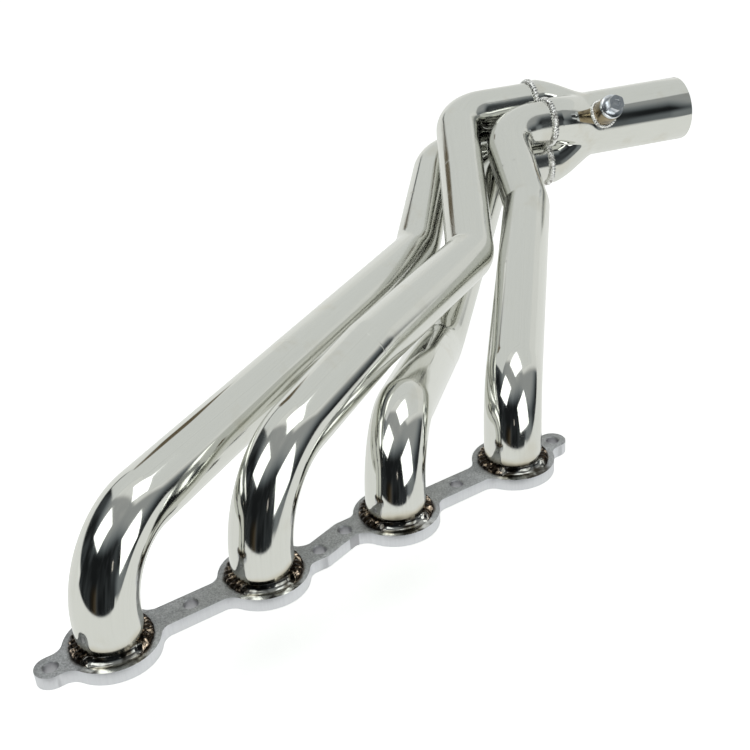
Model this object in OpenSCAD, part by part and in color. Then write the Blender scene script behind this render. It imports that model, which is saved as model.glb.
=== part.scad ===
// Long-tube exhaust header for one bank of a V8 engine, four primaries into one collector.
// Origin: centre of the flange's sealing face. X runs along the engine, Z points away from
// the cylinder head, and the primaries sweep towards +X and +Y.

/* [Flange] */
// Distance between neighbouring exhaust ports
port_pitch = 111.76; // [108:0.01:116]
// Thickness of the flange plate
flange_t = 9.5; // [8:0.1:12]
// Radius of the round lobe around each port
lobe_r = 32; // [31:0.1:34]
// Width of the bar that joins the lobes
bar_w = 21; // [19:0.5:24]
// Radius of the fillets between the bar and the lobes
lobe_fillet = 10; // [7:0.5:12]
// Diameter of the six bolt holes
bolt_hole_d = 9.5; // [8.5:0.1:10.5]
// Distance from the flange centre to each end bolt hole
end_hole_x = 208.7; // [207:0.1:211]
// Offset of the centre pair of holes along the flange
pair_x = 13.4; // [12:0.1:15]
// Offset of the centre pair of holes across the flange
pair_y = 4.2; // [2:0.1:5]

/* [Primary tubes] */
// Outer diameter of the primary tubes
tube_od = 44.45; // [42:0.05:44.6]
// Wall thickness of the primary tubes
tube_wall = 1.6; // [1.2:0.1:2.1]
// Depth that each tube stands into its flange port, below the top face
port_insert = 7.5; // [4:0.5:8]
// Height of the weld bead around each tube on the flange
port_bead_h = 5; // [3:0.1:6]
// Width of the weld bead around each tube on the flange
port_bead_w = 5.2; // [3:0.1:6]

/* [Collector] */
// Centre of the collector's inlet face
inlet_centre = [477, 320, 142]; // [100:1:600]
// Angle of the collector axis in plan, from +X
collector_yaw = -17.5; // [-20:0.5:-15]
// Angle of the collector axis above the flange plane
collector_pitch = 1; // [-1:0.5:3]
// Distance between neighbouring tubes where they enter the collector
inlet_spacing = 45.6; // [45.4:0.1:46.6]
// Turn of the square tube bundle about the collector axis, from up towards the side
bundle_turn = 57; // [56:1:60]
// Length of the merge, from the inlet face to the round outlet pipe
merge_len = 62; // [56:1:70]
// Length of the outlet pipe
outlet_len = 105; // [80:1:140]
// Outer diameter of the outlet pipe
outlet_od = 66.7; // [64:0.1:70]
// Inner diameter of the outlet pipe, a slip fit over a 63.5 mm exhaust pipe
outlet_id = 63.7; // [60:0.1:63.9]

/* [Oxygen sensor bung] */
// Distance from the bung to the open end of the outlet pipe
bung_from_end = 103; // [60:1:104]
// Angle of the bung around the collector axis, from up towards the side
bung_angle = 59; // [30:1:75]
// Outer diameter of the bung
bung_d = 25.4; // [24:0.1:28]
// Height of the bung above the pipe wall
bung_h = 18; // [10:0.5:20]
// Thread diameter of the sensor port
bung_thread_d = 18; // [18:0.1:18.4]
// Distance across the flats of the plug's hexagon
plug_hex_w = 15; // [13:0.5:17]

/* [Hidden] */
$fn = 72;

tube_r = tube_od / 2;
port_x = [-1.5, -0.5, 0.5, 1.5] * port_pitch;
bolt_holes = [
    [-end_hole_x, 0], [-port_pitch, 0], [-pair_x, -pair_y],
    [pair_x, pair_y], [port_pitch, 0], [end_hole_x, 0]
];

// Collector axis, and the directions across it: sideways (towards -Y) and up
axis_dir = [cos(collector_yaw) * cos(collector_pitch),
            sin(collector_yaw) * cos(collector_pitch),
            sin(collector_pitch)];
side_dir = unit(cross(axis_dir, [0, 0, 1]));
up_dir = cross(side_dir, axis_dir);
bundle_r = inlet_spacing / sqrt(2);
// Turn of each primary's place in the square bundle, tube 1 to tube 4
bundle_turns = [bundle_turn + 180, bundle_turn - 90, bundle_turn + 90, bundle_turn];

steel = [0.78, 0.78, 0.75];
weld_steel = [0.30, 0.24, 0.17];
plate_steel = [0.55, 0.56, 0.57];
zinc = [0.80, 0.82, 0.84];

// The corner points of each primary between its port and the collector, and the height of the
// first corner above its port. Each last corner lies on the tube's own collector inlet axis.
first_corner_h = [83, 84, 76, 62];
middle_corners = [
    [[278, 273, 73]],
    [[97, 84, 99], [275, 183, 97]],
    [[220, 164, 30]],
    [[372, 216.5, 112]]
];
inlet_lead = [105, 84, 62, 50];
bend_radii = [[54, 65, 42], [69, 67, 30, 40], [49, 60, 45], [48, 28, 42]];

// Depth that each primary slips into the collector
inlet_depth = 6;
// Small overlap or gap that keeps tangent surfaces apart where they are joined
blend_overlap = 0.02;

function unit(v) = v / norm(v);
function inlet_point(i) = inlet_centre
    + bundle_r * (cos(bundle_turns[i]) * up_dir + sin(bundle_turns[i]) * side_dir);
function route(i) = concat(
    [[port_x[i], 0, flange_t - port_insert]],
    [[port_x[i], 0, first_corner_h[i]]],
    middle_corners[i],
    [inlet_point(i) - inlet_lead[i] * axis_dir],
    [inlet_point(i) + inlet_depth * axis_dir]
);
// Direction of leg k of a route, and the turn at corner k
function leg_dir(p, k) = unit(p[k + 1] - p[k]);
function turn_at(p, k) = acos(leg_dir(p, k - 1) * leg_dir(p, k));
// Length that the bend at corner k takes from the legs beside it
function bend_cut(p, r, k) = k == 0 || k == len(p) - 1 ? 0 : r[k - 1] * tan(turn_at(p, k) / 2);
function leg_start(p, r, k) = p[k] + bend_cut(p, r, k) * leg_dir(p, k);
function leg_end(p, r, k) = p[k + 1] - bend_cut(p, r, k + 1) * leg_dir(p, k);
function seam(p, r, k, f) = (1 - f) * leg_start(p, r, k) + f * leg_end(p, r, k);

// Puts its children's Z axis along d, at point p
module along(p, d) {
    translate(p) rotate([0, acos(d[2] / norm(d)), atan2(d[1], d[0])]) children();
}

// Puts its children in a frame with origin p and axes x and y
module in_frame(p, x, y) {
    z = cross(x, y);
    translate(p) rotate([atan2(y[2], z[2]), -asin(x[2]), atan2(x[1], x[0])]) children();
}

module ring(outer_r, inner_r, h) {
    difference() {
        cylinder(r = outer_r, h = h);
        translate([0, 0, -1]) cylinder(r = inner_r, h = h + 2);
    }
}

// Straight leg of a bent tube, with a core ring inside the wall that ties it to the bend
module leg(h) {
    core = tube_wall / 3;
    translate([0, 0, blend_overlap]) ring(tube_r, tube_r - tube_wall, h - blend_overlap);
    translate([0, 0, -1]) ring(tube_r - core, tube_r - 2 * core, 2);
}

// One bent piece of primary i, around corner k of its route. It starts at fraction f of the
// leg before the bend and ends at fraction g of the leg after it.
module tube_piece(i, k, f, g) {
    p = route(i);
    r = bend_radii[i];
    bend_r = r[k - 1];
    turn = turn_at(p, k);
    inward = unit(leg_dir(p, k) - cos(turn) * leg_dir(p, k - 1));
    leg_in = norm(leg_end(p, r, k - 1) - seam(p, r, k - 1, f));
    leg_out = norm(seam(p, r, k, g) - leg_start(p, r, k));
    bend_centre = leg_end(p, r, k - 1) + bend_r * inward;
    color(steel) in_frame(bend_centre, -inward, leg_dir(p, k - 1)) union() {
        rotate_extrude(angle = turn) translate([bend_r, 0]) difference() {
            circle(r = tube_r);
            circle(r = tube_r - tube_wall);
        }
        translate([bend_r, 0, 0]) rotate([90, 0, 0]) leg(leg_in);
        rotate(turn) translate([bend_r, 0, 0]) rotate([-90, 0, 0]) leg(leg_out);
    }
}

// Concave corner where a bar whose edge lies at y = edge meets a lobe at the origin
module edge_fillet(edge, f) {
    centre_y = abs(edge) + f - blend_overlap;
    centre_x = sqrt(pow(lobe_r + f - blend_overlap, 2) - pow(centre_y, 2));
    mirror([0, edge < 0 ? 1 : 0]) difference() {
        polygon([[0, -1], [centre_x, -1], [centre_x, centre_y], [0, 0]]);
        translate([centre_x, centre_y]) circle(r = f);
    }
}

// Half of the flange outline, from the centre towards +X
module half_outline() {
    half = bar_w / 2;
    translate([port_pitch / 2, -half]) square([end_hole_x - port_pitch / 2 - 0.5, bar_w]);
    translate([end_hole_x, 0]) circle(r = half);
    // Bar at the centre hole, out to the inner lobe
    translate([pair_x, pair_y]) circle(r = half);
    translate([pair_x + 0.5, pair_y - half]) square([port_pitch / 2 - pair_x, bar_w]);
    for (x = [port_x[2], port_x[3]]) translate([x, 0]) {
        circle(r = lobe_r);
        for (edge = [-half, half]) edge_fillet(edge, lobe_fillet);
    }
    translate([port_x[3], 0]) mirror([1, 0]) for (edge = [-half, half]) edge_fillet(edge, lobe_fillet);
    translate([port_x[2], 0]) mirror([1, 0]) {
        edge_fillet(pair_y + half, lobe_fillet * 0.8);
        edge_fillet(pair_y - half, lobe_fillet * 1.2);
    }
}

module flange_outline() {
    half_outline();
    rotate(180) half_outline();
    // Slanted bar between the centre holes
    pair = [pair_x, pair_y];
    across = (bar_w / 2 - blend_overlap) * unit([-pair_y, pair_x]);
    polygon([pair + across, -pair + across, -pair - across, pair - across]);
}

module head_flange() {
    chamfer = 0.8;
    color(plate_steel) difference() {
        linear_extrude(flange_t) flange_outline();
        for (x = port_x) translate([x, 0, -1]) cylinder(r = tube_r + 0.05, h = flange_t + 2);
        for (h = bolt_holes) translate([h[0], h[1], 0]) {
            translate([0, 0, -1]) cylinder(d = bolt_hole_d, h = flange_t + 2);
            translate([0, 0, flange_t - chamfer])
                cylinder(d1 = bolt_hole_d, d2 = bolt_hole_d + 4 * chamfer, h = 2 * chamfer);
        }
    }
}

// Convex fillet bead around a tube that stands on the flange
module port_weld(i) {
    color(weld_steel) translate([port_x[i], 0, flange_t]) rotate_extrude()
        translate([tube_r + 0.02, 0]) intersection() {
            square([port_bead_w, port_bead_h]);
            circle(r = (port_bead_w + port_bead_h) / 2);
        }
}

module collector_frame() {
    in_frame(inlet_centre, up_dir, side_dir) children();
}

// A disc on the collector axis, or on tube i's inlet axis
module inlet_disc(i, r, h) {
    rotate(bundle_turns[i]) translate([bundle_r, 0]) cylinder(r = r, h = h);
}

// The outside of one lobe, from its tube's inlet to the round outlet
module collector_lobe(i) {
    wall = 1.7;
    skirt = 8;
    hull() {
        inlet_disc(i, tube_r + 0.05 + wall, skirt, $fn = 64);
        translate([0, 0, merge_len - 0.5]) cylinder(d = outlet_od, h = 0.5, $fn = 64);
    }
}

// The four lobes that the tubes slip into, drawn down to the round outlet
module merge_collector() {
    taper = 0.58;
    color(steel) collector_frame() difference() {
        union() {
            for (i = [0 : 3]) collector_lobe(i);
            // Web that closes the gap in the middle of the four tubes
            cylinder(r = inlet_spacing / 2 - 2, h = inlet_depth + 1);
        }
        for (i = [0 : 3]) translate([0, 0, -1]) inlet_disc(i, tube_r + 0.05, inlet_depth + 1);
        translate([0, 0, inlet_depth]) linear_extrude(merge_len - inlet_depth - 8, scale = taper)
            for (i = [0 : 3]) rotate(bundle_turns[i]) translate([bundle_r, 0])
                circle(r = tube_r - tube_wall);
        translate([0, 0, merge_len * 0.3])
            cylinder(r1 = bundle_r - 8, r2 = outlet_id / 2, h = merge_len * 0.7 - 8);
        translate([0, 0, merge_len - 8.01]) cylinder(d = outlet_id, h = 9);
    }
}

// Bead around the rim of the four lobes
module inlet_weld() {
    bead = 2.2;
    color(weld_steel) collector_frame() difference() {
        for (i = [0 : 3]) translate([0, 0, -bead]) inlet_disc(i, tube_r + 0.05 + bead, bead);
        for (i = [0 : 3]) translate([0, 0, -bead - 1]) inlet_disc(i, tube_r + 0.02, bead + 2);
    }
}

// Puts its children's Z axis on the bung's axis, with the origin on the collector axis
module bung_frame() {
    out = cos(bung_angle) * up_dir + sin(bung_angle) * side_dir;
    along(inlet_centre + (merge_len + outlet_len - bung_from_end) * axis_dir, out) children();
}

module outlet_pipe() {
    color(steel) difference() {
        along(inlet_centre + merge_len * axis_dir, axis_dir)
            ring(outlet_od / 2, outlet_id / 2, outlet_len);
        bung_frame() cylinder(d = bung_thread_d + 2, h = outlet_od);
    }
}

module sensor_bung() {
    color(weld_steel) difference() {
        bung_frame() difference() {
            cylinder(d = bung_d, h = outlet_od / 2 + bung_h);
            translate([0, 0, -1]) cylinder(d = bung_thread_d, h = outlet_od);
        }
        along(inlet_centre, axis_dir) cylinder(d = outlet_od, h = merge_len + outlet_len + 1);
        // The bung stands partly on the lobe of primary 4
        collector_frame() collector_lobe(3);
    }
}

module bung_weld() {
    bead = 3;
    color(weld_steel) difference() {
        bung_frame() difference() {
            cylinder(d1 = bung_d + 2 * bead + 2, d2 = bung_d + 1, h = outlet_od / 2 + bead);
            translate([0, 0, -1]) cylinder(d = bung_d, h = outlet_od);
        }
        along(inlet_centre, axis_dir) cylinder(d = outlet_od, h = merge_len + outlet_len + 1);
        // The bung stands partly on the lobe of primary 4
        collector_frame() collector_lobe(3);
    }
}

// Flanged hexagon plug that closes the sensor port
module bung_plug() {
    seat = outlet_od / 2 + bung_h + 0.1;
    thread_len = 14;
    collar_h = 5;
    hex_h = 11;
    color(zinc) bung_frame() union() {
        translate([0, 0, seat - thread_len]) cylinder(d = bung_thread_d - 0.1, h = thread_len);
        translate([0, 0, seat]) cylinder(d = bung_d - 0.4, h = collar_h);
        translate([0, 0, seat + collar_h]) cylinder(d = plug_hex_w / cos(30), h = hex_h, $fn = 6);
    }
}

head_flange();
port_weld(0);  // port_weld_1
port_weld(1);  // port_weld_2
port_weld(2);  // port_weld_3
port_weld(3);  // port_weld_4
tube_piece(0, 1, 0, 0.45);  // primary_1_port_bend
tube_piece(0, 2, 0.45, 0.5);  // primary_1_long_run
tube_piece(0, 3, 0.5, 1);  // primary_1_collector_bend
tube_piece(1, 1, 0, 0.9);  // primary_2_port_bend
tube_piece(1, 2, 0.9, 0.9);  // primary_2_long_run
tube_piece(1, 3, 0.9, 0.6);  // primary_2_riser
tube_piece(1, 4, 0.6, 1);  // primary_2_collector_bend
tube_piece(2, 1, 0, 0.9);  // primary_3_port_bend
tube_piece(2, 2, 0.9, 0.7);  // primary_3_long_run
tube_piece(2, 3, 0.7, 1);  // primary_3_collector_bend
tube_piece(3, 1, 0, 0.5);  // primary_4_port_bend
tube_piece(3, 2, 0.5, 0.5);  // primary_4_long_run
tube_piece(3, 3, 0.5, 1);  // primary_4_collector_bend
merge_collector();
inlet_weld();
outlet_pipe();
sensor_bung();
bung_weld();
bung_plug();
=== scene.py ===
"""Looks of a long-tube exhaust header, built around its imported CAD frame."""

import math

import bmesh
import bpy
import numpy as np
from mathutils import Matrix, Vector


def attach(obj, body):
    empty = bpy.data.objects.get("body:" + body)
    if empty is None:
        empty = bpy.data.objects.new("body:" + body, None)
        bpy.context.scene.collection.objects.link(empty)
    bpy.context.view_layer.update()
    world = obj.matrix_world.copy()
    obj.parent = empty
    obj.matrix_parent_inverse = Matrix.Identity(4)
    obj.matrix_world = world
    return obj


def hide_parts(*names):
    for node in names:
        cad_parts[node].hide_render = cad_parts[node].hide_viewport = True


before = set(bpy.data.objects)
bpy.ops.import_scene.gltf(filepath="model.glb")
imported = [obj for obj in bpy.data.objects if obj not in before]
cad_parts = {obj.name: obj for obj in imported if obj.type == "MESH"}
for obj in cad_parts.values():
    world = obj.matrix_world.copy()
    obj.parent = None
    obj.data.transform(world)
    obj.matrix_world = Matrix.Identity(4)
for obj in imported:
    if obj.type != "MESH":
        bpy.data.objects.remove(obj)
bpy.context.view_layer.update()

# ---------------------------------------------------------------- sizes, in millimetres
MM = 0.001
PORT_PITCH = 111.76
PLATE = 9.5
TUBE_R = 44.45 / 2
WALL = 1.6
PORT_INSERT = 7.5
INLET = np.array([477.0, 320.0, 142.0])
YAW, PITCH = math.radians(-17.5), math.radians(1)
SPACING = 45.6
BUNDLE_TURN = 57
MERGE_LEN, OUTLET_LEN = 62, 105
COLLECTOR_WALL = 1.75
OUTLET_R, OUTLET_BORE = 66.7 / 2, 63.7 / 2
BUNG_FROM_END, BUNG_TURN = 103, 59
BUNG_R, BUNG_H = 12.7, 18
BOLT_HOLES = [(208.7, 0), (PORT_PITCH, 0), (13.4, 4.2)]
PORT_X = [-1.5 * PORT_PITCH, -0.5 * PORT_PITCH, 0.5 * PORT_PITCH, 1.5 * PORT_PITCH]
FIRST_CORNER = [83, 84, 76, 62]
MIDDLE = [
    [[278, 273, 73]],
    [[97, 84, 99], [275, 183, 97]],
    [[220, 164, 30]],
    [[372, 216.5, 112]],
]
LEAD = [105, 84, 62, 50]
RADII = [[54, 65, 42], [69, 67, 30, 40], [49, 60, 45], [48, 28, 42]]
INSERT = 6
# Where each tube's pieces meet: the leg and how far along it
SEAMS = [
    [(1, 0.45), (2, 0.5)],
    [(1, 0.9), (2, 0.9), (3, 0.6)],
    [(1, 0.9), (2, 0.7)],
    [(1, 0.5), (2, 0.5)],
]
TUBE_NODES = [
    ["port_bend", "long_run", "collector_bend"],
    ["port_bend", "long_run", "riser", "collector_bend"],
    ["port_bend", "long_run", "collector_bend"],
    ["port_bend", "long_run", "collector_bend"],
]
# Spacing of the rings of a tube's mesh, on the leg at the port and on the other legs
PORT_LEG_STEP, LEG_STEP = 0.8, 5.0
# The port welds are ground smooth over this part of their turn, towards the front
FRONT_TURN = math.radians(-108)
FRONT_INNER, FRONT_OUTER = math.radians(33), math.radians(50)

STEEL = (0.735, 0.74, 0.70)
STEEL_GRAIN = (0.60, 0.60, 0.55)
STEEL_WARM = (0.60, 0.55, 0.43)
# Near black: soot at each tube's foot, and painted reflection and shade on the ground fronts of
# the port welds.
SOOT_AND_PAINTED_DARK = (0.045, 0.04, 0.03)


def unit(v):
    v = np.asarray(v, float)
    return v / np.linalg.norm(v)


AXIS = np.array(
    [math.cos(YAW) * math.cos(PITCH), math.sin(YAW) * math.cos(PITCH), math.sin(PITCH)]
)
SIDE = unit(np.cross(AXIS, [0, 0, 1]))
UP = np.cross(SIDE, AXIS)
BUNDLE_R = SPACING / math.sqrt(2)
TURNS = [math.radians(BUNDLE_TURN + extra) for extra in (180, -90, 90, 0)]


def inlet_point(i):
    return INLET + BUNDLE_R * (math.cos(TURNS[i]) * UP + math.sin(TURNS[i]) * SIDE)


# ---------------------------------------------------------------- mesh helpers
def new_object(name, verts, faces, material, smooth_angle=35, attribute=None):
    """A mesh object from points in millimetres."""
    mesh = bpy.data.meshes.new(name)
    mesh.from_pydata((np.asarray(verts, float) * MM).tolist(), [], faces)
    if attribute is not None:
        data = mesh.attributes.new("tube_co", "FLOAT_VECTOR", "POINT")
        data.data.foreach_set("vector", np.asarray(attribute, np.float32).ravel())
    mesh.validate()
    tidy = bmesh.new()
    tidy.from_mesh(mesh)
    bmesh.ops.recalc_face_normals(tidy, faces=tidy.faces)
    tidy.to_mesh(mesh)
    tidy.free()
    obj = bpy.data.objects.new(name, mesh)
    bpy.context.scene.collection.objects.link(obj)
    shade(obj, smooth_angle)
    mesh.materials.append(material)
    return obj


def shade(obj, angle):
    obj.data.polygons.foreach_set("use_smooth", [True] * len(obj.data.polygons))
    obj.data.set_sharp_from_angle(angle=math.radians(angle))


def grid_faces(rows, columns, first=0, close_rows=False):
    """Quads of a grid whose columns wrap round; rows wrap too if close_rows."""
    faces = []
    for i in range(rows if close_rows else rows - 1):
        j = (i + 1) % rows
        for k in range(columns):
            n = (k + 1) % columns
            faces.append(
                (
                    first + i * columns + k,
                    first + i * columns + n,
                    first + j * columns + n,
                    first + j * columns + k,
                )
            )
    return faces


def in_frame(points, origin, x, y, z):
    """Points of a local frame as row frame points."""
    points = np.asarray(points, float)
    return (
        np.asarray(origin)
        + points[..., 0:1] * x
        + points[..., 1:2] * y
        + points[..., 2:3] * z
    )


def lathe(name, profile, origin, x, y, z, material, segments=128, angle=35, warp=None):
    """A closed (r, height) profile turned about z; warp may change each (r, angle, height)."""
    turn = np.linspace(0, 2 * math.pi, segments, endpoint=False)
    rows = []
    for r, h in profile:
        radius = np.full(segments, float(r))
        height = np.full(segments, float(h))
        if warp is not None:
            radius, height = warp(radius, turn, height)
        rows.append(
            np.stack([radius * np.cos(turn), radius * np.sin(turn), height], axis=-1)
        )
    points = in_frame(np.array(rows).reshape(-1, 3), origin, x, y, z)
    return new_object(
        name, points, grid_faces(len(rows), segments, 0, True), material, angle
    )


def cut(obj, *tools):
    """Takes solid tools away from obj and removes them."""
    for tool in tools:
        cutter = obj.modifiers.new("cut", "BOOLEAN")
        cutter.operation = "DIFFERENCE"
        cutter.solver = "EXACT"
        cutter.object = tool
    depsgraph = bpy.context.evaluated_depsgraph_get()
    mesh = bpy.data.meshes.new_from_object(obj.evaluated_get(depsgraph))
    obj.modifiers.clear()
    mesh.name = obj.name
    obj.data = mesh
    for tool in tools:
        bpy.data.objects.remove(tool)


# ---------------------------------------------------------------- material helpers
class Nodes:
    """Short calls for building one node tree."""

    def __init__(self, tree):
        self.tree = tree
        self.tree.nodes.clear()

    def add(self, kind, **values):
        node = self.tree.nodes.new(kind)
        for key, value in values.items():
            setattr(node, key, value)
        return node

    def link(self, a, b):
        self.tree.links.new(a, b)

    def put(self, socket, value):
        if isinstance(value, bpy.types.NodeSocket):
            self.link(value, socket)
        else:
            socket.default_value = value

    def place(self):
        return self.add("ShaderNodeTexCoord").outputs["Object"]

    def tube_place(self):
        return self.add("ShaderNodeAttribute", attribute_name="tube_co").outputs["Vector"]

    def stretch(self, vector, scale):
        node = self.add("ShaderNodeMapping")
        self.link(vector, node.inputs["Vector"])
        node.inputs["Scale"].default_value = scale
        return node.outputs[0]

    def noise(self, vector, scale, detail=2, rough=0.5, distortion=0.0):
        node = self.add("ShaderNodeTexNoise")
        self.link(vector, node.inputs["Vector"])
        node.inputs["Scale"].default_value = scale
        node.inputs["Detail"].default_value = detail
        node.inputs["Roughness"].default_value = rough
        node.inputs["Distortion"].default_value = distortion
        return node.outputs[0]

    def math(self, operation, a, b=0.0):
        node = self.add("ShaderNodeMath", operation=operation)
        self.put(node.inputs[0], a)
        self.put(node.inputs[1], b)
        return node.outputs[0]

    def remap(self, value, low, high, to_low=0.0, to_high=1.0):
        node = self.add("ShaderNodeMapRange", interpolation_type="SMOOTHSTEP")
        self.link(value, node.inputs["Value"])
        ends = {"From Min": low, "From Max": high, "To Min": to_low, "To Max": to_high}
        for key, number in ends.items():
            node.inputs[key].default_value = number
        return node.outputs[0]

    def mix(self, factor, a, b):
        node = self.add("ShaderNodeMix", data_type="RGBA")
        self.put(node.inputs["Factor"], factor)
        for socket, value in ((node.inputs[6], a), (node.inputs[7], b)):
            self.put(socket, (*value, 1) if isinstance(value, tuple) else value)
        return node.outputs[2]

    def blend(self, factor, a, b):
        """What mix does, for plain numbers."""
        node = self.add("ShaderNodeMix", data_type="FLOAT")
        for socket, value in ((node.inputs[0], factor), (node.inputs[2], a), (node.inputs[3], b)):
            self.put(socket, value)
        return node.outputs[0]

    def rectangle(self, x, y, x_fade, y_fade):
        """1 where x and y are inside, fading to 0 between each pair of distances."""
        return self.math(
            "MULTIPLY",
            self.remap(self.math("ABSOLUTE", x), *x_fade, 1, 0),
            self.remap(self.math("ABSOLUTE", y), *y_fade, 1, 0),
        )

    def length(self, x, y):
        squares = self.math("ADD", self.math("MULTIPLY", x, x), self.math("MULTIPLY", y, y))
        return self.math("SQRT", squares)

    def axis(self, vector, name):
        node = self.add("ShaderNodeSeparateXYZ")
        self.link(vector, node.inputs[0])
        return node.outputs[name]

    def port_place(self, place):
        """Distance from the nearest port's axis, and 1 on its ground front, 0 elsewhere."""
        x, y = self.axis(place, "X"), self.axis(place, "Y")
        pitch = PORT_PITCH * MM
        part = self.math("FRACT", self.math("DIVIDE", x, pitch))
        dx = self.math("MULTIPLY", self.math("SUBTRACT", part, 0.5), pitch)
        away = self.length(dx, y)
        ahead = self.math(
            "ADD",
            self.math("MULTIPLY", dx, math.cos(FRONT_TURN)),
            self.math("MULTIPLY", y, math.sin(FRONT_TURN)),
        )
        cosine = self.math("DIVIDE", ahead, away)
        front = self.remap(cosine, math.cos(FRONT_OUTER), math.cos(FRONT_INNER), 0, 1)
        return away, front

    def hole_mask(self, place):
        """1 on the wall of a bolt hole, 0 elsewhere."""
        x = self.math("ABSOLUTE", self.axis(place, "X"))
        y = self.math("ABSOLUTE", self.axis(place, "Y"))
        mask = None
        for hole_x, hole_y in BOLT_HOLES:
            dx = self.math("SUBTRACT", x, hole_x * MM)
            dy = self.math("SUBTRACT", y, hole_y * MM)
            near = self.remap(self.length(dx, dy), 5.1 * MM, 5.6 * MM, 1, 0)
            mask = near if mask is None else self.math("MAXIMUM", mask, near)
        return mask

    def bump(self, height, distance, strength=1.0, normal=None):
        node = self.add("ShaderNodeBump")
        self.link(height, node.inputs["Height"])
        node.inputs["Distance"].default_value = distance
        node.inputs["Strength"].default_value = strength
        if normal is not None:
            self.link(normal, node.inputs["Normal"])
        return node.outputs[0]


class Surface(Nodes):
    """The nodes of a new material, around one principled shader."""

    def __init__(self, name):
        self.material = bpy.data.materials.new(name)
        self.material.use_nodes = True
        super().__init__(self.material.node_tree)
        self.output = self.add("ShaderNodeOutputMaterial")
        self.shader = self.add("ShaderNodeBsdfPrincipled")
        self.link(self.shader.outputs[0], self.output.inputs[0])

    def set(self, name, value):
        self.put(self.shader.inputs[name], value)


def tube_material(name, haze, near_port):
    """Polished stainless tube: faint lengthwise grain, soft waves, heat tint at the weld."""
    n = Surface(name)
    tube = n.tube_place()
    place = n.place()
    grain = n.noise(n.stretch(tube, (1, 1, 0.03)), 900, 3, 0.6)
    blotch = n.noise(tube, 28, 3, 0.6)
    waves = n.noise(n.stretch(tube, (1, 1, 0.55)), 22, 1, 0.4)
    colour = n.mix(n.remap(grain, 0.35, 0.75, 0, 0.10), STEEL, STEEL_GRAIN)
    colour = n.mix(n.remap(blotch, 0.56, 0.78, 0, 0.28), colour, STEEL_WARM)
    if near_port:
        height = n.axis(place, "Z")
        ragged = n.math("MULTIPLY", n.math("SUBTRACT", n.noise(tube, 45, 2), 0.5), 13 * MM)
        height = n.math("ADD", height, ragged)
        colour = n.mix(n.remap(height, 15 * MM, 23 * MM, 1, 0), colour, STEEL_WARM)
        colour = n.mix(n.remap(height, 13.5 * MM, 19.5 * MM, 1, 0), colour, SOOT_AND_PAINTED_DARK)
    n.set("Base Color", colour)
    n.set("Metallic", 1.0)
    hazy = n.remap(blotch, 0.4, 0.7, haze, haze + 0.05)
    n.set("Roughness", n.math("ADD", n.remap(grain, 0.3, 0.8, 0.0, 0.07), hazy))
    fine = n.bump(grain, 0.004 * MM, 0.12)
    n.set("Normal", n.bump(waves, 0.35 * MM, 0.5, fine))
    return n.material


def weld_material(name, dark, bright, share, rough, ground=False):
    """Weld metal: glossy ripples with patches of two colours, mirror bright where ground, with
    painted reflection and shade there as black and grey patches.
    """
    n = Surface(name)
    place = n.place()
    patches = n.noise(place, 190, 3, 0.6, 0.4)
    grit = n.noise(place, 1100, 2, 0.6)
    colour = n.mix(n.remap(patches, share, share + 0.12), dark, bright)
    roughness = n.remap(grit, 0.3, 0.7, rough, rough + 0.2)
    lumps = n.noise(place, 380, 2, 0.5)
    if ground:
        front = n.port_place(place)[1]
        rest = n.math("SUBTRACT", 1.0, front)
        # Painted reflection and shade: on the ground front, black and grey patches stand in for
        # the mirrored dark room and the tube's shadow.
        painted_reflection_patches = n.remap(n.noise(place, 75, 2, 0.6), 0.42, 0.6)
        colour = n.mix(front, colour, n.mix(painted_reflection_patches, SOOT_AND_PAINTED_DARK, (0.42, 0.42, 0.40)))
        roughness = n.math("MULTIPLY", roughness, n.remap(rest, 0, 1, 0.45, 1))
        grit, lumps = n.math("MULTIPLY", grit, rest), n.math("MULTIPLY", lumps, rest)
    n.set("Base Color", colour)
    n.set("Metallic", 1.0)
    n.set("Roughness", roughness)
    n.set("Normal", n.bump(lumps, 0.6 * MM, 0.6, n.bump(grit, 0.06 * MM, 0.5)))
    return n.material


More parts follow.
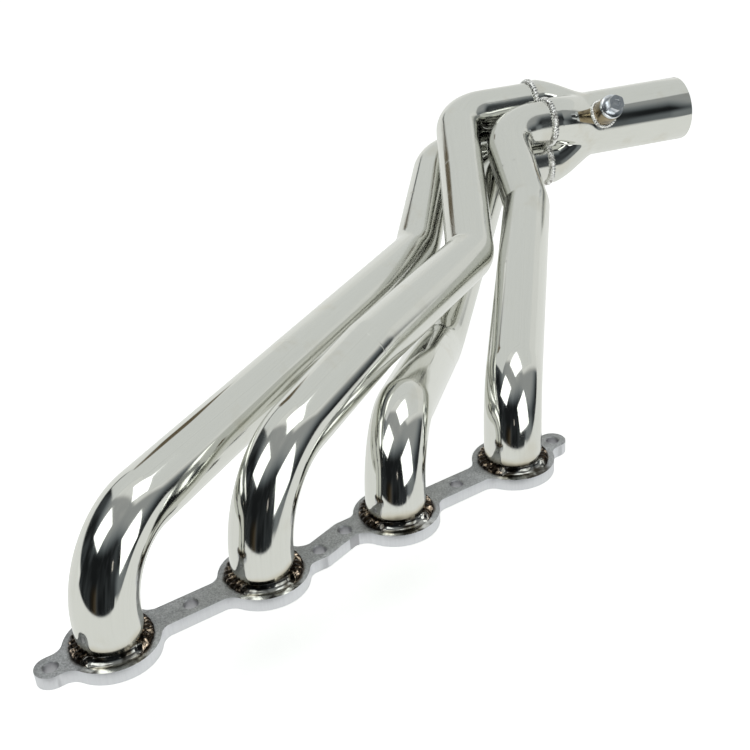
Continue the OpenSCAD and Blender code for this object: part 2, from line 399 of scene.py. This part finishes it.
def flange_material():
    """Satin rolled plate with cut edges, heat tinted and polished around each port, with painted
    reflection on the polished fronts and painted shade on the bolt hole walls.
    """
    n = Surface("flange_plate")
    place = n.place()
    nearest, front = n.port_place(place)
    facing = n.axis(n.add("ShaderNodeNewGeometry").outputs["True Normal"], "Z")
    edge = n.remap(n.math("ABSOLUTE", facing), 0.3, 0.7, 1, 0)
    grit = n.noise(place, 1000, 4, 0.75)
    cloud = n.noise(place, 45, 3, 0.6)
    wander = n.math("MULTIPLY", n.math("SUBTRACT", n.noise(place, 70, 2), 0.5), 6 * MM)
    reach = n.math("ADD", nearest, wander)
    tint = n.remap(reach, 26.2 * MM, 29.2 * MM, 1, 0)
    bright = n.math("MULTIPLY", front, n.remap(reach, 31.5 * MM, 34.5 * MM, 1, 0))
    top = n.mix(n.remap(cloud, 0.35, 0.7), (0.47, 0.48, 0.49), (0.60, 0.61, 0.62))
    top = n.mix(n.remap(grit, 0.38, 0.62, 0.0, 0.6), top, (0.17, 0.175, 0.18))
    top = n.mix(tint, top, (0.075, 0.058, 0.04))
    # Painted reflection: on the polished port fronts, black and light patches stand in for the
    # mirrored tube foot and dark room.
    painted_reflection_patches = n.remap(n.noise(place, 75, 2, 0.6), 0.42, 0.6)
    top = n.mix(bright, top, n.mix(painted_reflection_patches, (0.07, 0.065, 0.055), (0.66, 0.66, 0.64)))
    lines = n.noise(n.stretch(place, (1, 1, 0.02)), 700, 2, 0.6)
    # Painted shade: the walls of the bolt holes get a darker grey than the outer cut edges.
    painted_hole_shade = n.hole_mask(place)
    streaks = n.remap(lines, 0.35, 0.7, 0.0, 0.2)
    side = n.mix(streaks, (0.80, 0.81, 0.84), (0.62, 0.63, 0.66))
    side = n.mix(painted_hole_shade, side, (0.48, 0.48, 0.50))
    n.set("Base Color", n.mix(edge, top, side))
    n.set("Metallic", 1.0)
    dull = n.remap(bright, 0, 1, 1, 0.2)
    top_rough = n.math("MULTIPLY", dull, n.remap(grit, 0.3, 0.7, 0.38, 0.52))
    n.set("Roughness", n.blend(edge, top_rough, 0.42))
    rolled = n.bump(n.math("MULTIPLY", grit, dull), 0.22 * MM, 0.8)
    sawn = n.bump(n.math("MULTIPLY", lines, edge), 0.2 * MM, 0.5, rolled)
    n.set("Normal", sawn)
    return n.material


def plain_metal(name, colour, second, scale, rough):
    """Turned or plated metal with mottling and fine grit."""
    n = Surface(name)
    place = n.place()
    mottle = n.noise(place, scale, 3, 0.6)
    grit = n.noise(place, 3000, 2, 0.6)
    n.set("Base Color", n.mix(n.remap(mottle, 0.35, 0.7), colour, second))
    n.set("Metallic", 1.0)
    n.set("Roughness", n.remap(grit, 0.3, 0.7, rough, rough + 0.12))
    n.set("Normal", n.bump(grit, 0.03 * MM, 0.6))
    return n.material


BEND_STEEL = tube_material("tube_bend_steel", 0.045, True)
RUN_STEEL = tube_material("tube_run_steel", 0.10, False)
PORT_WELD = weld_material(
    "port_weld_metal", (0.022, 0.016, 0.011), (0.70, 0.56, 0.43), 0.53, 0.14, ground=True
)
LIGHT_WELD = weld_material(
    "collector_weld_metal", (0.40, 0.39, 0.37), (0.92, 0.92, 0.90), 0.38, 0.10
)
FLANGE = flange_material()
BUNG = plain_metal("bung_bronze", (0.42, 0.34, 0.22), (0.20, 0.16, 0.11), 160, 0.18)
ZINC = plain_metal("plug_zinc", (0.82, 0.84, 0.86), (0.66, 0.69, 0.74), 240, 0.14)


# ---------------------------------------------------------------- tubes
def route(i):
    end = inlet_point(i)
    corners = [[PORT_X[i], 0, PLATE - PORT_INSERT], [PORT_X[i], 0, FIRST_CORNER[i]]]
    corners += MIDDLE[i]
    corners += [end - LEAD[i] * AXIS, end + INSERT * AXIS]
    return np.array(corners, float)


def stations(i):
    """Points and directions along tube i, and the station number of each seam."""
    corners, radii = route(i), RADII[i]
    legs = [unit(b - a) for a, b in zip(corners[:-1], corners[1:])]
    turns = [math.acos(float(a @ b)) for a, b in zip(legs[:-1], legs[1:])]
    cuts = [0, *(r * math.tan(t / 2) for r, t in zip(radii, turns)), 0]
    points, ways, seams = [corners[0]], [legs[0]], [0]
    for k, leg in enumerate(legs):
        start = corners[k] + cuts[k] * leg
        end = corners[k + 1] - cuts[k + 1] * leg
        length = float(np.linalg.norm(end - start))
        marks = [f * length for seam_leg, f in SEAMS[i] if seam_leg == k]
        step = PORT_LEG_STEP if k == 0 else LEG_STEP
        spots = list(np.linspace(0, length, max(2, int(length / step)))[1:])
        for mark in marks:
            near = [mark + d for d in (-3, -1.8, -0.9, -0.4, 0, 0.4, 0.9, 1.8, 3)]
            spots = [s for s in spots if abs(s - mark) > 3.5] + near
        for s in sorted(spots):
            points.append(start + s * leg)
            ways.append(leg)
            if any(abs(s - mark) < 1e-9 for mark in marks):
                seams.append(len(points) - 1)
        if k < len(turns):
            inward = unit(legs[k + 1] - math.cos(turns[k]) * leg)
            centre = end + radii[k] * inward
            for a in np.linspace(0, turns[k], max(8, int(math.degrees(turns[k]) / 1.5)))[1:]:
                points.append(centre + radii[k] * (math.sin(a) * leg - math.cos(a) * inward))
                ways.append(math.cos(a) * leg + math.sin(a) * inward)
    seams.append(len(points) - 1)
    return np.array(points), np.array(ways), seams


def carried_frames(ways):
    """Cross directions that follow the tube without twisting."""
    x = unit(np.cross(ways[0], [0, 1, 0]))
    xs = []
    for way in ways:
        x = unit(x - (x @ way) * way)
        xs.append(x)
    xs = np.array(xs)
    return xs, np.cross(ways, xs)


def seam_profile(distance):
    """A ground weld at a seam: a slight swell with a fine line in the middle."""
    swell = 0.035 * np.exp(-((distance / 2.2) ** 2))
    line = 0.07 * np.exp(-((distance / 0.45) ** 2))
    return swell - line


def make_tube(i):
    points, ways, seams = stations(i)
    xs, ys = carried_frames(ways)
    along = np.concatenate([[0], np.cumsum(np.linalg.norm(np.diff(points, axis=0), axis=1))])
    outer_r = np.full(len(points), TUBE_R)
    for seam in seams[1:-1]:
        outer_r += seam_profile(along - along[seam])
    for k, piece in enumerate(TUBE_NODES[i]):
        node = f"primary_{i + 1}_{piece}"
        first, last = seams[k], seams[k + 1]
        sides = 192 if k == 0 else 128
        turn = np.linspace(0, 2 * math.pi, sides, endpoint=False)
        ring = np.stack([np.cos(turn), np.sin(turn)], axis=-1)
        verts, places = [], []
        for surface in ("outer", "inner"):
            order = range(first, last + 1) if surface == "outer" else range(last, first - 1, -1)
            for s in order:
                r = outer_r[s] if surface == "outer" else TUBE_R - WALL
                cross = ring[:, :1] * xs[s] + ring[:, 1:] * ys[s]
                verts.append(points[s] + r * cross)
                places.append(
                    np.column_stack([ring * r, np.full(sides, along[s] + 1000 * i)])
                )
        rows = len(verts)
        material = BEND_STEEL if k == 0 else RUN_STEEL
        obj = new_object(
            node + "_tube",
            np.vstack(verts),
            grid_faces(rows, sides, 0, True),
            material,
            40,
            np.vstack(places) * MM,
        )
        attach(obj, "header")
        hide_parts(node)


for number in range(4):
    make_tube(number)


# ---------------------------------------------------------------- weld beads
def bead(name, centres, outs, ups, profile, pitch, depth, seed, material, ground=None):
    """A rippled bead along a closed line. profile gives (out, up, ripple share) points.

    ground is a second profile and, for each station, how far the bead is ground down to it.
    """
    random = np.random.RandomState(seed)
    centres, outs, ups = (np.asarray(a, float) for a in (centres, outs, ups))
    count = len(centres)
    steps = np.linalg.norm(np.roll(centres, -1, axis=0) - centres, axis=1)
    along = np.concatenate([[0], np.cumsum(steps)[:-1]])
    total = steps.sum()
    ripples = max(1, round(total / pitch))
    turn = np.arange(count) / count * 2 * math.pi
    wobble = sum(
        random.uniform(0.3, 1) / k * np.sin(k * turn + random.uniform(0, 6.28))
        for k in (2, 3, 5, 9, 14)
    )
    phase = along / total * ripples + 0.12 * wobble
    rows = []
    for n, (out, up, share) in enumerate(profile):
        skew = 0.9 * n / len(profile)
        saw = np.abs(np.sin(math.pi * (phase + skew)))
        scale = 1 + share * depth * (saw - 0.6 + 0.3 * wobble)
        sideways, upward = out * scale, up * scale
        if ground is not None:
            low, share_low = ground
            sideways = sideways * (1 - share_low) + low[n][0] * share_low
            upward = upward * (1 - share_low) + low[n][1] * share_low
        rows.append(centres + sideways[:, None] * outs + upward[:, None] * ups)
    points = np.array(rows)
    return new_object(
        name, points.reshape(-1, 3), grid_faces(len(rows), count, 0, True), material, 60
    )


def ring_lines(origin, x, y, radius, count):
    turn = np.linspace(0, 2 * math.pi, count, endpoint=False)
    outs = np.cos(turn)[:, None] * x + np.sin(turn)[:, None] * y
    return origin + radius * outs, outs


X, Y, Z = np.eye(3)
FILLET = [(-0.35, 4.7, 0), (0.7, 4.75, 0.4)]
for a in np.linspace(12, 78, 8):
    a = math.radians(a)
    FILLET.append((1.0 + 4.0 * math.sin(a), 0.6 + 4.1 * math.cos(a), 1))
FILLET += [(5.05, 0.5, 0.5), (5.0, -0.25, 0), (-0.35, -0.25, 0)]
# The same fillet ground down to a smooth hollow
HOLLOW = [(-0.35, 4.7), (0.02, 4.65)]
for a in np.linspace(4, 86, 8):
    a = math.radians(a)
    HOLLOW.append((4.9 - 4.8 * math.cos(a), 4.8 - 4.7 * math.sin(a)))
HOLLOW += [(5.0, 0.06), (5.0, -0.25), (-0.35, -0.25)]
PORT_STEPS = 720
turn = np.linspace(0, 2 * math.pi, PORT_STEPS, endpoint=False)
from_front = np.abs((turn - FRONT_TURN + math.pi) % (2 * math.pi) - math.pi)
ground_share = np.clip((FRONT_OUTER - from_front) / (FRONT_OUTER - FRONT_INNER), 0, 1)
ground_share = ground_share**2 * (3 - 2 * ground_share)
for i in range(4):
    centres, outs = ring_lines(np.array([PORT_X[i], 0, PLATE]), X, Y, TUBE_R, PORT_STEPS)
    ups = np.tile(Z, (PORT_STEPS, 1))
    name = f"port_weld_bead_{i + 1}"
    ground = (HOLLOW, ground_share)
    weld = bead(name, centres, outs, ups, FILLET, 4.2, 0.20, 11 + i, PORT_WELD, ground)
    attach(weld, "header")
    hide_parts(f"port_weld_{i + 1}")

beads = []
LOBE_STEPS = 480
ROUND = [(math.cos(a), math.sin(a), 1) for a in np.linspace(0, 2 * math.pi, 12, endpoint=False)]
profile = [(2.3 * a, 2.9 * b, c) for a, b, c in ROUND]
for i in range(4):
    centre = inlet_point(i) - 0.6 * AXIS
    centres, outs = ring_lines(centre, UP, SIDE, TUBE_R + 1.1, LOBE_STEPS)
    ups = np.tile(AXIS, (LOBE_STEPS, 1))
    name = f"lobe_bead_{i}"
    beads.append(bead(name, centres, outs, ups, profile, 3.2, 0.48, 31 + i, LIGHT_WELD))


def join(objects, name):
    """One object from several that share a material."""
    merged = bmesh.new()
    for o in objects:
        merged.from_mesh(o.data)
    mesh = bpy.data.meshes.new(name)
    merged.to_mesh(mesh)
    merged.free()
    mesh.materials.append(objects[0].data.materials[0])
    for o in objects:
        bpy.data.objects.remove(o)
    obj = bpy.data.objects.new(name, mesh)
    bpy.context.scene.collection.objects.link(obj)
    shade(obj, 60)
    return obj


inlet_bead = join(beads, "collector_weld_beads")
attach(inlet_bead, "header")
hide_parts("inlet_weld")


# ---------------------------------------------------------------- collector
def lobe_radius(turn, h, less=0.0):
    """Distance from the axis to the collector's skin, with softened valleys."""
    t = min(max((h - 8) / (MERGE_LEN - 8), 0), 1)
    t = 0.55 * t + 0.45 * t * t * (3 - 2 * t)
    c = BUNDLE_R * (1 - t)
    r = (TUBE_R + COLLECTOR_WALL) * (1 - t) + OUTLET_R * t - less
    reach = []
    for place in TURNS:
        phi = turn - place
        inside = np.maximum(r * r - (c * np.sin(phi)) ** 2, 1.0)
        reach.append(np.maximum(c * np.cos(phi) + np.sqrt(inside), 1.0))
    sharp = 46 - 26 * t
    reach = np.array(reach) / 30
    return 30 * (np.sum(reach**sharp, axis=0) / (1 + 3 * t**3)) ** (1 / sharp)


def loft(name, heights, less, material):
    segments = 256
    turn = np.linspace(0, 2 * math.pi, segments, endpoint=False)
    rows = [
        np.stack(
            [
                lobe_radius(turn, h, less) * np.cos(turn),
                lobe_radius(turn, h, less) * np.sin(turn),
                np.full(segments, float(h)),
            ],
            axis=-1,
        )
        for h in heights
    ]
    verts = in_frame(np.array(rows).reshape(-1, 3), INLET, UP, SIDE, AXIS)
    faces = grid_faces(len(rows), segments)
    last = (len(rows) - 1) * segments
    faces += [tuple(range(segments))[::-1], tuple(range(last, last + segments))]
    return new_object(name, verts, faces, material, 35)


def cylinder(name, origin, x, y, z, radius, low, high, material, segments=128):
    turn = np.linspace(0, 2 * math.pi, segments, endpoint=False)
    ring = np.stack([radius * np.cos(turn), radius * np.sin(turn), np.zeros(segments)], -1)
    verts = in_frame(np.vstack([ring + [0, 0, low], ring + [0, 0, high]]), origin, x, y, z)
    faces = grid_faces(2, segments)
    faces += [tuple(range(segments))[::-1], tuple(range(segments, 2 * segments))]
    return new_object(name, verts, faces, material, 35)


def plain_steel():
    """The tube steel for pieces that are not tubes, grained around the collector's axis."""
    n = Surface("collector_steel")
    place = n.place()
    grain = n.noise(n.stretch(place, (0.05, 0.2, 1)), 700, 3, 0.6)
    blotch = n.noise(place, 32, 3, 0.6)
    waves = n.noise(place, 26, 1, 0.4)
    colour = n.mix(n.remap(grain, 0.35, 0.75, 0, 0.10), STEEL, STEEL_GRAIN)
    colour = n.mix(n.remap(blotch, 0.54, 0.75, 0, 0.30), colour, STEEL_WARM)
    n.set("Base Color", colour)
    n.set("Metallic", 1.0)
    hazy = n.remap(blotch, 0.4, 0.7, 0.05, 0.10)
    n.set("Roughness", n.math("ADD", n.remap(grain, 0.3, 0.8, 0.0, 0.05), hazy))
    n.set("Normal", n.bump(waves, 0.3 * MM, 0.5, n.bump(grain, 0.004 * MM, 0.5)))
    return n.material


COLLECTOR_STEEL = plain_steel()
outside = [0, 0.5, *np.arange(1.5, MERGE_LEN + 0.1, 1.1), MERGE_LEN]
inside = [INSERT, *np.arange(INSERT + 1, MERGE_LEN, 1.1), MERGE_LEN + 3]
collector = loft("collector_merge_skin", outside, 0, COLLECTOR_STEEL)
chamber = loft("chamber_tool", inside, COLLECTOR_WALL, COLLECTOR_STEEL)
bores = []
for i in range(4):
    lobe = (inlet_point(i), UP, SIDE, AXIS)
    name = f"bore_tool_{i}"
    bores.append(cylinder(name, *lobe, TUBE_R + 0.03, -3, INSERT + 0.5, COLLECTOR_STEEL))
cut(collector, chamber, *bores)
shade(collector, 35)
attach(collector, "header")
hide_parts("merge_collector")

outlet_start = INLET + MERGE_LEN * AXIS
bung_place = INLET + (MERGE_LEN + OUTLET_LEN - BUNG_FROM_END) * AXIS
BUNG_TURN_RAD = math.radians(BUNG_TURN)
BUNG_Z = math.cos(BUNG_TURN_RAD) * UP + math.sin(BUNG_TURN_RAD) * SIDE
BUNG_X = AXIS
BUNG_Y = np.cross(BUNG_Z, BUNG_X)
end = OUTLET_LEN
pipe = [(OUTLET_BORE, 0.01), (OUTLET_R, 0.01), (OUTLET_R, 0.5)]
pipe += [(OUTLET_R, h) for h in (26, 52, 78, end - 0.6)]
pipe += [(OUTLET_R - 0.12, end - 0.2), (OUTLET_R - 0.4, end)]
pipe += [(OUTLET_BORE + 0.4, end), (OUTLET_BORE + 0.1, end - 0.2)]
pipe += [(OUTLET_BORE, h) for h in (end - 0.6, 78, 52, 26)]
outlet = lathe("outlet_pipe_skin", pipe, outlet_start, UP, SIDE, AXIS, COLLECTOR_STEEL, 256)
bung_axes = (bung_place, BUNG_X, BUNG_Y, BUNG_Z)
cut(outlet, cylinder("bung_hole_tool", *bung_axes, 10, 5, 60, COLLECTOR_STEEL))
shade(outlet, 30)
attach(outlet, "header")
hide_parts("outlet_pipe")

# ---------------------------------------------------------------- bung, its weld and the plug
BUNG_STEPS = 360
turn = np.linspace(0, 2 * math.pi, BUNG_STEPS, endpoint=False)
foot_r = BUNG_R + 0.6
local = np.stack([foot_r * np.cos(turn), foot_r * np.sin(turn)], -1)


def skin_height(x, y):
    """Height of the pipe's or lobe's skin over the collector's axis, in the bung's frame."""
    h = MERGE_LEN + OUTLET_LEN - BUNG_FROM_END + x
    height = math.sqrt(OUTLET_R**2 - y**2)
    for _ in range(4):
        angle = BUNG_TURN_RAD + math.atan2(y, height)
        r = float(lobe_radius(np.array([angle]), h)[0]) if h < MERGE_LEN else OUTLET_R
        height = math.sqrt(max(r * r - y * y, 1))
    return height


heights = np.array([skin_height(x, y) for x, y in local])
centres = in_frame(np.column_stack([local, heights]), *bung_axes)
outs = np.cos(turn)[:, None] * BUNG_X + np.sin(turn)[:, None] * BUNG_Y
ups = np.tile(BUNG_Z, (BUNG_STEPS, 1))
profile = [(2.3 * a, 2.3 * b, c) for a, b, c in ROUND]
foot = bead("bung_weld_bead", centres, outs, ups, profile, 2.6, 0.34, 51, LIGHT_WELD)
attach(foot, "header")
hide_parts("bung_weld")

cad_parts["sensor_bung"].data.materials.clear()
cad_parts["sensor_bung"].data.materials.append(BUNG)

# The plug's seat on the bung, and its sizes above and below the seat
SEAT = OUTLET_R + BUNG_H + 0.1
SHANK_R, SHANK_LEN, THREAD_PITCH, THREAD_DEPTH = 8.9, 14, 1.5, 0.75
COLLAR_R, COLLAR_H = 12.5, 5
HEX_W, HEAD_H = 15, 16
THREAD_FROM, THREAD_TO = SEAT - SHANK_LEN + 1.0, SEAT - 0.6
shank = [(0.05, SEAT - SHANK_LEN), (SHANK_R - 1.0, SEAT - SHANK_LEN)]
shank += [(SHANK_R - 0.1, THREAD_FROM - 0.2)]
shank += [(SHANK_R, h) for h in np.arange(THREAD_FROM, THREAD_TO, 0.15)]
collar = [(SHANK_R, SEAT), (COLLAR_R - 0.8, SEAT), (COLLAR_R - 0.3, SEAT + 0.25)]
collar += [(COLLAR_R, SEAT + 0.8), (COLLAR_R, SEAT + COLLAR_H - 1.0)]
collar += [(COLLAR_R - 0.3, SEAT + COLLAR_H - 0.3), (COLLAR_R - 0.9, SEAT + COLLAR_H)]


def thread(radius, angle, height):
    """Threads the shank and shapes the head to a chamfered hexagon."""
    h = float(height[0])
    if THREAD_FROM - 0.05 < h < THREAD_TO:
        phase = (h / THREAD_PITCH - angle / (2 * math.pi)) % 1
        radius = radius - THREAD_DEPTH * (1 - np.abs(2 * phase - 1))
    if h > SEAT + COLLAR_H + 0.01 and radius[0] > HEX_W / 2 - 0.1:
        sector = (angle + math.pi / 6) % (math.pi / 3) - math.pi / 6
        flat = HEX_W / 2 / np.cos(sector)
        radius = np.minimum(flat, radius)
    return radius, height


CORNER_R, CHAMFER = 9.2, 0.8
top = SEAT + HEAD_H
head = [(CORNER_R, SEAT + h) for h in (COLLAR_H + 0.05, 7, 9, 11, 13)]
head += [(CORNER_R - 1.1 * f, top - CHAMFER * (1 - f)) for f in np.linspace(0, 1, 5)]
face = [(7.2, top), (5.0, top), (3.3, top)]
face += [(3.0, top - 0.5), (1.5, top - 0.55), (0.05, top - 0.55)]
outline = shank + collar + head + face
plug = lathe("sensor_port_plug", outline, *bung_axes, ZINC, 180, 28, thread)
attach(plug, "plug")
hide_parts("bung_plug")


# ---------------------------------------------------------------- flange
def bevelled_copy(node, name, width, material):
    """A copy of a CAD node with its sharp edges rounded."""
    mesh = bmesh.new()
    mesh.from_mesh(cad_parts[node].data)
    bmesh.ops.remove_doubles(mesh, verts=mesh.verts, dist=2e-6)
    bmesh.ops.dissolve_limit(
        mesh, angle_limit=math.radians(0.5), verts=mesh.verts, edges=mesh.edges
    )
    sharp = [
        e for e in mesh.edges
        if len(e.link_faces) == 2 and e.calc_face_angle() > math.radians(50)
        and abs(e.verts[0].co.z - e.verts[1].co.z) < 1e-5
    ]
    bmesh.ops.bevel(
        mesh, geom=sharp, offset=width, segments=2, affect="EDGES", clamp_overlap=True, profile=0.5
    )
    copy = bpy.data.meshes.new(name)
    mesh.to_mesh(copy)
    mesh.free()
    copy.materials.append(material)
    obj = bpy.data.objects.new(name, copy)
    bpy.context.scene.collection.objects.link(obj)
    shade(obj, 32)
    return obj


flange = bevelled_copy("head_flange", "head_flange_plate", 0.4 * MM, FLANGE)
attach(flange, "header")
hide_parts("head_flange")


# ---------------------------------------------------------------- floor, light and camera
def floor():
    """A pale floor, below the flange, that the polished metal doesn't mirror."""
    n = Surface("pale_floor")
    cloud = n.remap(n.noise(n.place(), 3), 0.3, 0.7)
    n.set("Base Color", n.mix(cloud, (0.90, 0.91, 0.90), (0.92, 0.93, 0.92)))
    n.set("Roughness", 0.9)
    n.set("Specular IOR Level", 0.1)
    n.set("Emission Color", (0.99, 1.0, 0.99, 1))
    n.set("Emission Strength", 0.70)
    half, drop = 12000, -90
    corners = [[-half, -half, drop], [half, -half, drop], [half, half, drop], [-half, half, drop]]
    obj = new_object("studio_floor", corners, [(0, 1, 2, 3)], n.material)
    obj.visible_glossy = False


def direction(azimuth, elevation):
    """A direction from its azimuth, from +Y towards +X, and its elevation, in degrees."""
    a, e = math.radians(azimuth), math.radians(elevation)
    return (math.sin(a) * math.cos(e), math.cos(a) * math.cos(e), math.sin(e))


# The white table's mirrored edge: a tilted plane, lowest at this azimuth, in degrees
TABLE_EDGE, TABLE_DIP = -166, 17.5
TABLE_GLOW, CAMERA_GLOW = 0.86, 0.97
# Soft rectangles of light that only mirrors see. Each has a strength, then its azimuth,
# elevation, half width, half height and softness; a later one covers an earlier one.
WINDOWS = [
    (0.34, 122, 40, 0.60, 0.50, 0.28),
    (0.79, 56, 36, 0.95, 0.95, 0.12),
    (0.95, -32, -8, 0.80, 0.38, 0.06),
    (0.85, 128, -28, 1.0, 0.24, 0.05),
    (0.22, 156, -4, 0.26, 0.20, 0.14),
]
BROWN_WINDOW = (-124, -2, 0.13, 0.24, 0.12)


def studio_world():
    """A dark studio with soft windows and a white table below, and a pale backdrop."""
    world = bpy.data.worlds.new("studio")
    bpy.context.scene.world = world
    world.use_nodes = True
    n = Nodes(world.node_tree)
    way = n.add("ShaderNodeTexCoord").outputs["Generated"]
    up = n.axis(way, "Z")

    def dot(vector):
        node = n.add("ShaderNodeVectorMath", operation="DOT_PRODUCT")
        n.link(way, node.inputs[0])
        node.inputs[1].default_value = vector
        return node.outputs["Value"]

    def window(azimuth, elevation, half_wide, half_high, soft):
        """1 inside a rectangle seen in that direction, 0 outside, with soft edges."""
        z = Vector(direction(azimuth, elevation))
        x = Vector(direction(azimuth + 90, 0))
        depth = dot(z)
        mask = n.rectangle(
            n.math("DIVIDE", dot(x), depth),
            n.math("DIVIDE", dot(z.cross(x)), depth),
            (half_wide - soft, half_wide + soft),
            (half_high - soft, half_high + soft),
        )
        return n.math("MULTIPLY", mask, n.remap(depth, 0.01, 0.05, 0, 1))

    glow = n.remap(n.noise(n.stretch(way, (1, 1, 0.25)), 3.5, 2, 0.5), 0.4, 0.75, 0.0, 0.045)
    light = n.math("ADD", glow, n.remap(up, 0.60, 0.97, 0.012, 0.36))
    for strength, *place in WINDOWS:
        light = n.blend(window(*place), light, strength)
    edge = Vector(direction(TABLE_EDGE, 0)) * math.tan(math.radians(TABLE_DIP)) + Vector((0, 0, 1))
    light = n.blend(n.remap(dot(edge), -0.02, 0.03, 1, 0), light, TABLE_GLOW)
    light = n.blend(n.add("ShaderNodeLightPath").outputs["Is Camera Ray"], light, CAMERA_GLOW)
    background = n.add("ShaderNodeBackground")
    n.link(light, background.inputs["Strength"])
    pale, bluish, brown = (0.985, 1.0, 0.975), (0.80, 0.98, 1.12), (1.5, 1.15, 0.7)
    room = n.mix(n.remap(light, 0.02, 0.5, 0.6, 0), pale, bluish)
    dark = n.math("MULTIPLY", window(*BROWN_WINDOW), n.remap(light, 0.1, 0.3, 1, 0))
    n.link(n.mix(dark, room, brown), background.inputs["Color"])
    n.link(background.outputs[0], n.add("ShaderNodeOutputWorld").inputs[0])


PANEL_TINT, WARM, BROWN = (0.975, 1.0, 0.985), (1.0, 0.93, 0.85), (1.0, 0.80, 0.50)
# What the tubes mirror at a definite place. Each has a name, a centre, the point it faces,
# a half width, a half height and a strength, and some a softness and a tint.
PANELS = [
    ("softbox_left", (-0.94, 0.0, 1.50), (0, 0, 0.08), 0.52, 0.50, 2.4),
    ("softbox_right", (0.19, -0.53, 0.27), (-0.05, 0, 0.08), 0.21, 0.22, 2.4),
    ("softbox_top", (0.32, 0.02, 0.82), (0, 0, 0.08), 0.22, 0.21, 2.4),
    ("slit_light", (-0.198, -0.538, 0.263), (-0.1, 0, 0.08), 0.013, 0.055, 0.95, 0.4, WARM),
    ("brown_board", (0.26, 1.20, 0.48), (0.0, 0.1, 0.1), 0.10, 0.18, 0.13, 0.3, BROWN),
    ("ceiling_right", (1.40, 0.70, 1.10), (1.40, 0.70, 0), 0.95, 1.05, 0.75, 0.06),
    ("ceiling_back", (0.40, 1.60, 1.10), (0.40, 1.60, 0), 0.80, 1.05, 0.75, 0.06),
]


def light_panel(name, centre, aim, half_wide, half_high, strength, soft=0.12, tint=PANEL_TINT):
    """A glowing panel that only mirrors see, with soft edges. Sizes are in metres."""
    n = Surface(name)
    place = n.place()
    mask = n.rectangle(
        n.axis(place, "X"),
        n.axis(place, "Y"),
        (half_wide * (1 - soft), half_wide),
        (half_high * (1 - soft), half_high),
    )
    glow = n.add("ShaderNodeEmission")
    n.link(n.mix(n.noise(place, 2), tint, tuple(0.96 * c for c in tint)), glow.inputs["Color"])
    glow.inputs["Strength"].default_value = strength
    edged = n.add("ShaderNodeMixShader")
    n.link(mask, edged.inputs[0])
    n.link(n.add("ShaderNodeBsdfTransparent").outputs[0], edged.inputs[1])
    n.link(glow.outputs[0], edged.inputs[2])
    n.link(edged.outputs[0], n.output.inputs[0])
    n.tree.nodes.remove(n.shader)
    signs = np.array([[-1, -1, 0], [1, -1, 0], [1, 1, 0], [-1, 1, 0]])
    corners = signs * [half_wide / MM, half_high / MM, 0]
    obj = new_object(name, corners, [(0, 1, 2, 3)], n.material)
    turn = (Vector(aim) - Vector(centre)).to_track_quat("Z", "Y").to_matrix().to_4x4()
    obj.matrix_world = Matrix.Translation(centre) @ turn
    obj.visible_camera = obj.visible_diffuse = obj.visible_shadow = False


def studio_lamp():
    """A large soft overhead lamp that the polished metal doesn't mirror."""
    data = bpy.data.lights.new("overhead", "AREA")
    data.shape = "RECTANGLE"
    data.size, data.size_y, data.energy = 1.6, 1.2, 9
    lamp = bpy.data.objects.new("overhead_lamp", data)
    bpy.context.scene.collection.objects.link(lamp)
    lamp.location = (-0.4, -0.5, 1.7)
    way = Vector((0.2, 0.15, 0)) - lamp.location
    lamp.rotation_euler = way.to_track_quat("-Z", "Y").to_euler()
    lamp.visible_glossy = False
    lamp.visible_camera = False


def camera():
    """The photograph's view, as fitted to the ports, the bolt holes and the tubes."""
    azimuth, dip, roll = 32.286, 27.456, math.radians(4.4633)
    forward = Vector(direction(azimuth, -dip))
    flat = forward.cross(Vector((0, 0, 1))).normalized()
    low = forward.cross(flat)
    right = math.cos(roll) * flat + math.sin(roll) * low
    down = math.cos(roll) * low - math.sin(roll) * flat
    data = bpy.data.cameras.new("camera")
    data.sensor_width = 36
    data.lens = 53.99
    data.clip_start, data.clip_end = 0.01, 100
    obj = bpy.data.objects.new("camera", data)
    bpy.context.scene.collection.objects.link(obj)
    rows = Matrix((right, -down, -forward)).transposed()
    obj.matrix_world = Matrix.Translation((-0.3175, -0.5762, 0.4793)) @ rows.to_4x4()
    bpy.context.scene.camera = obj


floor()
studio_world()
for panel in PANELS:
    light_panel(*panel)
studio_lamp()
camera()
bpy.context.scene.view_settings.view_transform = "Standard"
